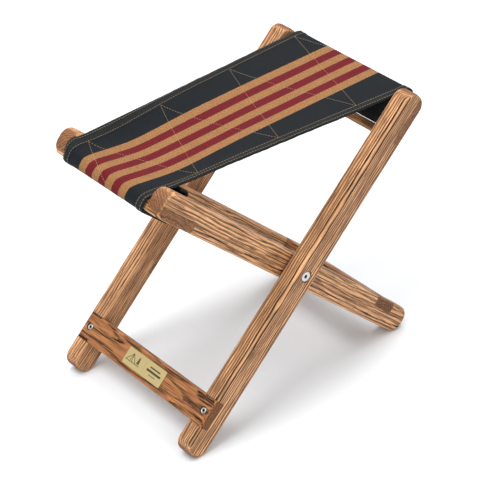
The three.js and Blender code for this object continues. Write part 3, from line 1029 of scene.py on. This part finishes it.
class TopSide:
    """Finds points of the canvas's top side from a distance along it and a share across."""

    def __init__(self, canvas, top, normal):
        self.along, self.half, self.t = canvas.along, canvas.half, canvas.t
        self.top, self.normal = top, normal

    def at(self, along, share):
        i = np.interp(along, self.along, np.arange(len(self.along)))
        j = np.interp(share, self.t, np.arange(len(self.t)))
        i0 = np.minimum(i.astype(int), len(self.along) - 2)
        j0 = np.minimum(j.astype(int), len(self.t) - 2)
        fi, fj = (i - i0)[:, None], (j - j0)[:, None]

        def between(grid):
            near = grid[i0, j0] * (1 - fj) + grid[i0, j0 + 1] * fj
            far = grid[i0 + 1, j0] * (1 - fj) + grid[i0 + 1, j0 + 1] * fj
            return near * (1 - fi) + far * fi

        return between(self.top), unit(between(self.normal))

    def edge_share(self, along, edge, inset):
        return edge * (1 - inset / np.interp(along, self.along, self.half))

    def stitches(self, along, share):
        """Centres, directions and normals of the stitches along a line of the cloth."""
        run = run_along(self.at(along, share)[0])

        def on_line(distance):
            return self.at(np.interp(distance, run, along), np.interp(distance, run, share))

        pitch = STITCH["length"] + STITCH["gap"]
        centres = np.arange(pitch / 2, run[-1], pitch)
        ends = [np.clip(centres + sign * STITCH["length"] / 2, 0, run[-1]) for sign in (-1, 1)]
        start, end = (on_line(distance)[0] for distance in ends)
        where, normal = on_line(centres)
        return where, unit(end - start), normal


def stitch_template():
    """One stitch along x: a thread that comes up, lies on the cloth and dips in again."""
    rings, sides = STITCH_RINGS, STITCH_SIDES
    vertices, faces = [], []
    for i in range(rings):
        share = i / (rings - 1)
        x = (share - 0.5) * STITCH["length"]
        lift = math.sin(math.pi * share)
        radius = STITCH["radius"] * (STITCH_END + (1 - STITCH_END) * lift)
        for j in range(sides):
            angle = 2 * math.pi * j / sides
            vertices.append((x, radius * math.cos(angle),
                             radius * math.sin(angle) + STITCH["radius"] * (lift - 0.5)))
    for i in range(rings - 1):
        for j in range(sides):
            a, b = i * sides + j, i * sides + (j + 1) % sides
            faces.append((a, b, b + sides, a + sides))
    faces.append(tuple(reversed(range(sides))))
    faces.append(tuple(range((rings - 1) * sides, rings * sides)))
    return np.array(vertices), faces


def zigzag_turns(canvas):
    """(distance along, edge) of the zigzag's turns, from one sleeve to the other."""
    x, along = canvas.line[canvas.on_seat, 0], canvas.along[canvas.on_seat]
    start = np.interp(-ZIGZAG_REAR_X, -x, along)
    return [(start + k * ZIGZAG_PITCH, 1 if k % 2 == 0 else -1) for k in ZIGZAG_TURNS]


def stitch_lines(canvas, side):
    """(distances along, shares across) of each seam: the hems' rows and the zigzag's runs."""
    first, last = canvas.shown_run()
    along = np.arange(first, last, ROW_STEP)
    lines = [(along, side.edge_share(along, edge, inset)) for edge in (-1, 1) for inset in HEM_ROWS]
    turns = zigzag_turns(canvas)
    for pair in zip(turns, turns[1:]):
        ends = [side.edge_share(at, edge, ZIGZAG_INSET) for at, edge in pair]
        along = np.linspace(pair[0][0], pair[1][0], ZIGZAG_SAMPLES)
        share = np.linspace(*ends, ZIGZAG_SAMPLES)
        keep = (along > first) & (along < last)
        if keep.sum() > ZIGZAG_LEAST:
            lines.append((along[keep], share[keep]))
    return lines


def make_stitching(canvas, side, material):
    template, template_faces = stitch_template()
    parts = []
    for along, share in stitch_lines(canvas, side):
        for where, direction, up in zip(*side.stitches(along, share)):
            placed = where + template @ np.array([direction, np.cross(up, direction), up])
            parts.append((placed.tolist(), template_faces))
    return new_piece("canvas_stitching", *joined(parts), material)


def make_seat():
    canvas = Canvas()
    cloth, top_side = make_cloth(canvas, canvas_cloth())
    stitching = make_stitching(canvas, top_side, plain("thread"))
    for piece in (cloth, stitching):
        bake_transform(piece)
    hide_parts("seat_panel", "outer_sleeve", "inner_sleeve")


# Studio


TARGET = Vector((1.12, 0, 197.58)) * MM
DISTANCE = 2856.93 * MM
AZIMUTH, ELEVATION, ROLL = (math.radians(angle) for angle in (-38.5486, 34.2024, -2.5142))
LENS = 150.97
SENSOR = 36

FLOOR_HALF = 4.0
SKY = (0.985, 0.99, 1, 1)
SKY_STRENGTH = 0.68
LIT_POINT = Vector((0, 0, 0.2))
# Each light's place, diameter and power in watts.
LIGHTS = {
    "key": ((-1.0, 0.0, 2.5), 1.8, 46),
    "second": ((1.0, 0.4, 2.5), 1.8, 36),
    "fill": ((-0.8, -2.6, 1.4), 1.6, 16),
}


def make_camera():
    back = Vector((
        math.sin(AZIMUTH) * math.cos(ELEVATION),
        -math.cos(AZIMUTH) * math.cos(ELEVATION),
        math.sin(ELEVATION),
    ))
    right = (-back).cross(Vector((0, 0, 1))).normalized()
    up = right.cross(-back)
    level = Matrix((right, up, back)).transposed()
    camera = bpy.data.objects.new("camera", bpy.data.cameras.new("camera"))
    camera.data.lens = LENS
    camera.data.sensor_width = SENSOR
    turned = level @ Matrix.Rotation(ROLL, 3, "Z")
    camera.matrix_world = Matrix.Translation(TARGET + DISTANCE * back) @ turned.to_4x4()
    bpy.context.scene.collection.objects.link(camera)
    bpy.context.scene.camera = camera


def make_light(name, place, size, power):
    light = bpy.data.lights.new(name, "AREA")
    light.shape = "DISK"
    light.size = size
    light.energy = power
    lamp = bpy.data.objects.new(name, light)
    lamp.location = place
    lamp.rotation_euler = (LIT_POINT - Vector(place)).to_track_quat("-Z", "Y").to_euler()
    bpy.context.scene.collection.objects.link(lamp)


def make_studio():
    corners = [(sx * FLOOR_HALF, sy * FLOOR_HALF, 0)
               for sx, sy in ((-1, -1), (1, -1), (1, 1), (-1, 1))]
    new_piece("floor", corners, [(0, 1, 2, 3)], plain("floor"), smooth=False)
    world = bpy.data.worlds.new("studio")
    world.use_nodes = True
    background = world.node_tree.nodes["Background"].inputs
    background["Color"].default_value = SKY
    background["Strength"].default_value = SKY_STRENGTH
    bpy.context.scene.world = world
    bpy.context.scene.view_settings.view_transform = "Standard"
    for name, settings in LIGHTS.items():
        make_light(name, *settings)


make_camera()
make_wood()
make_fasteners((metal("plated_steel"), metal("socket_shade_steel")), plain("nylon"))
make_plate(metal("satin_brass"), plain("engraving"))
make_seat()
make_studio()
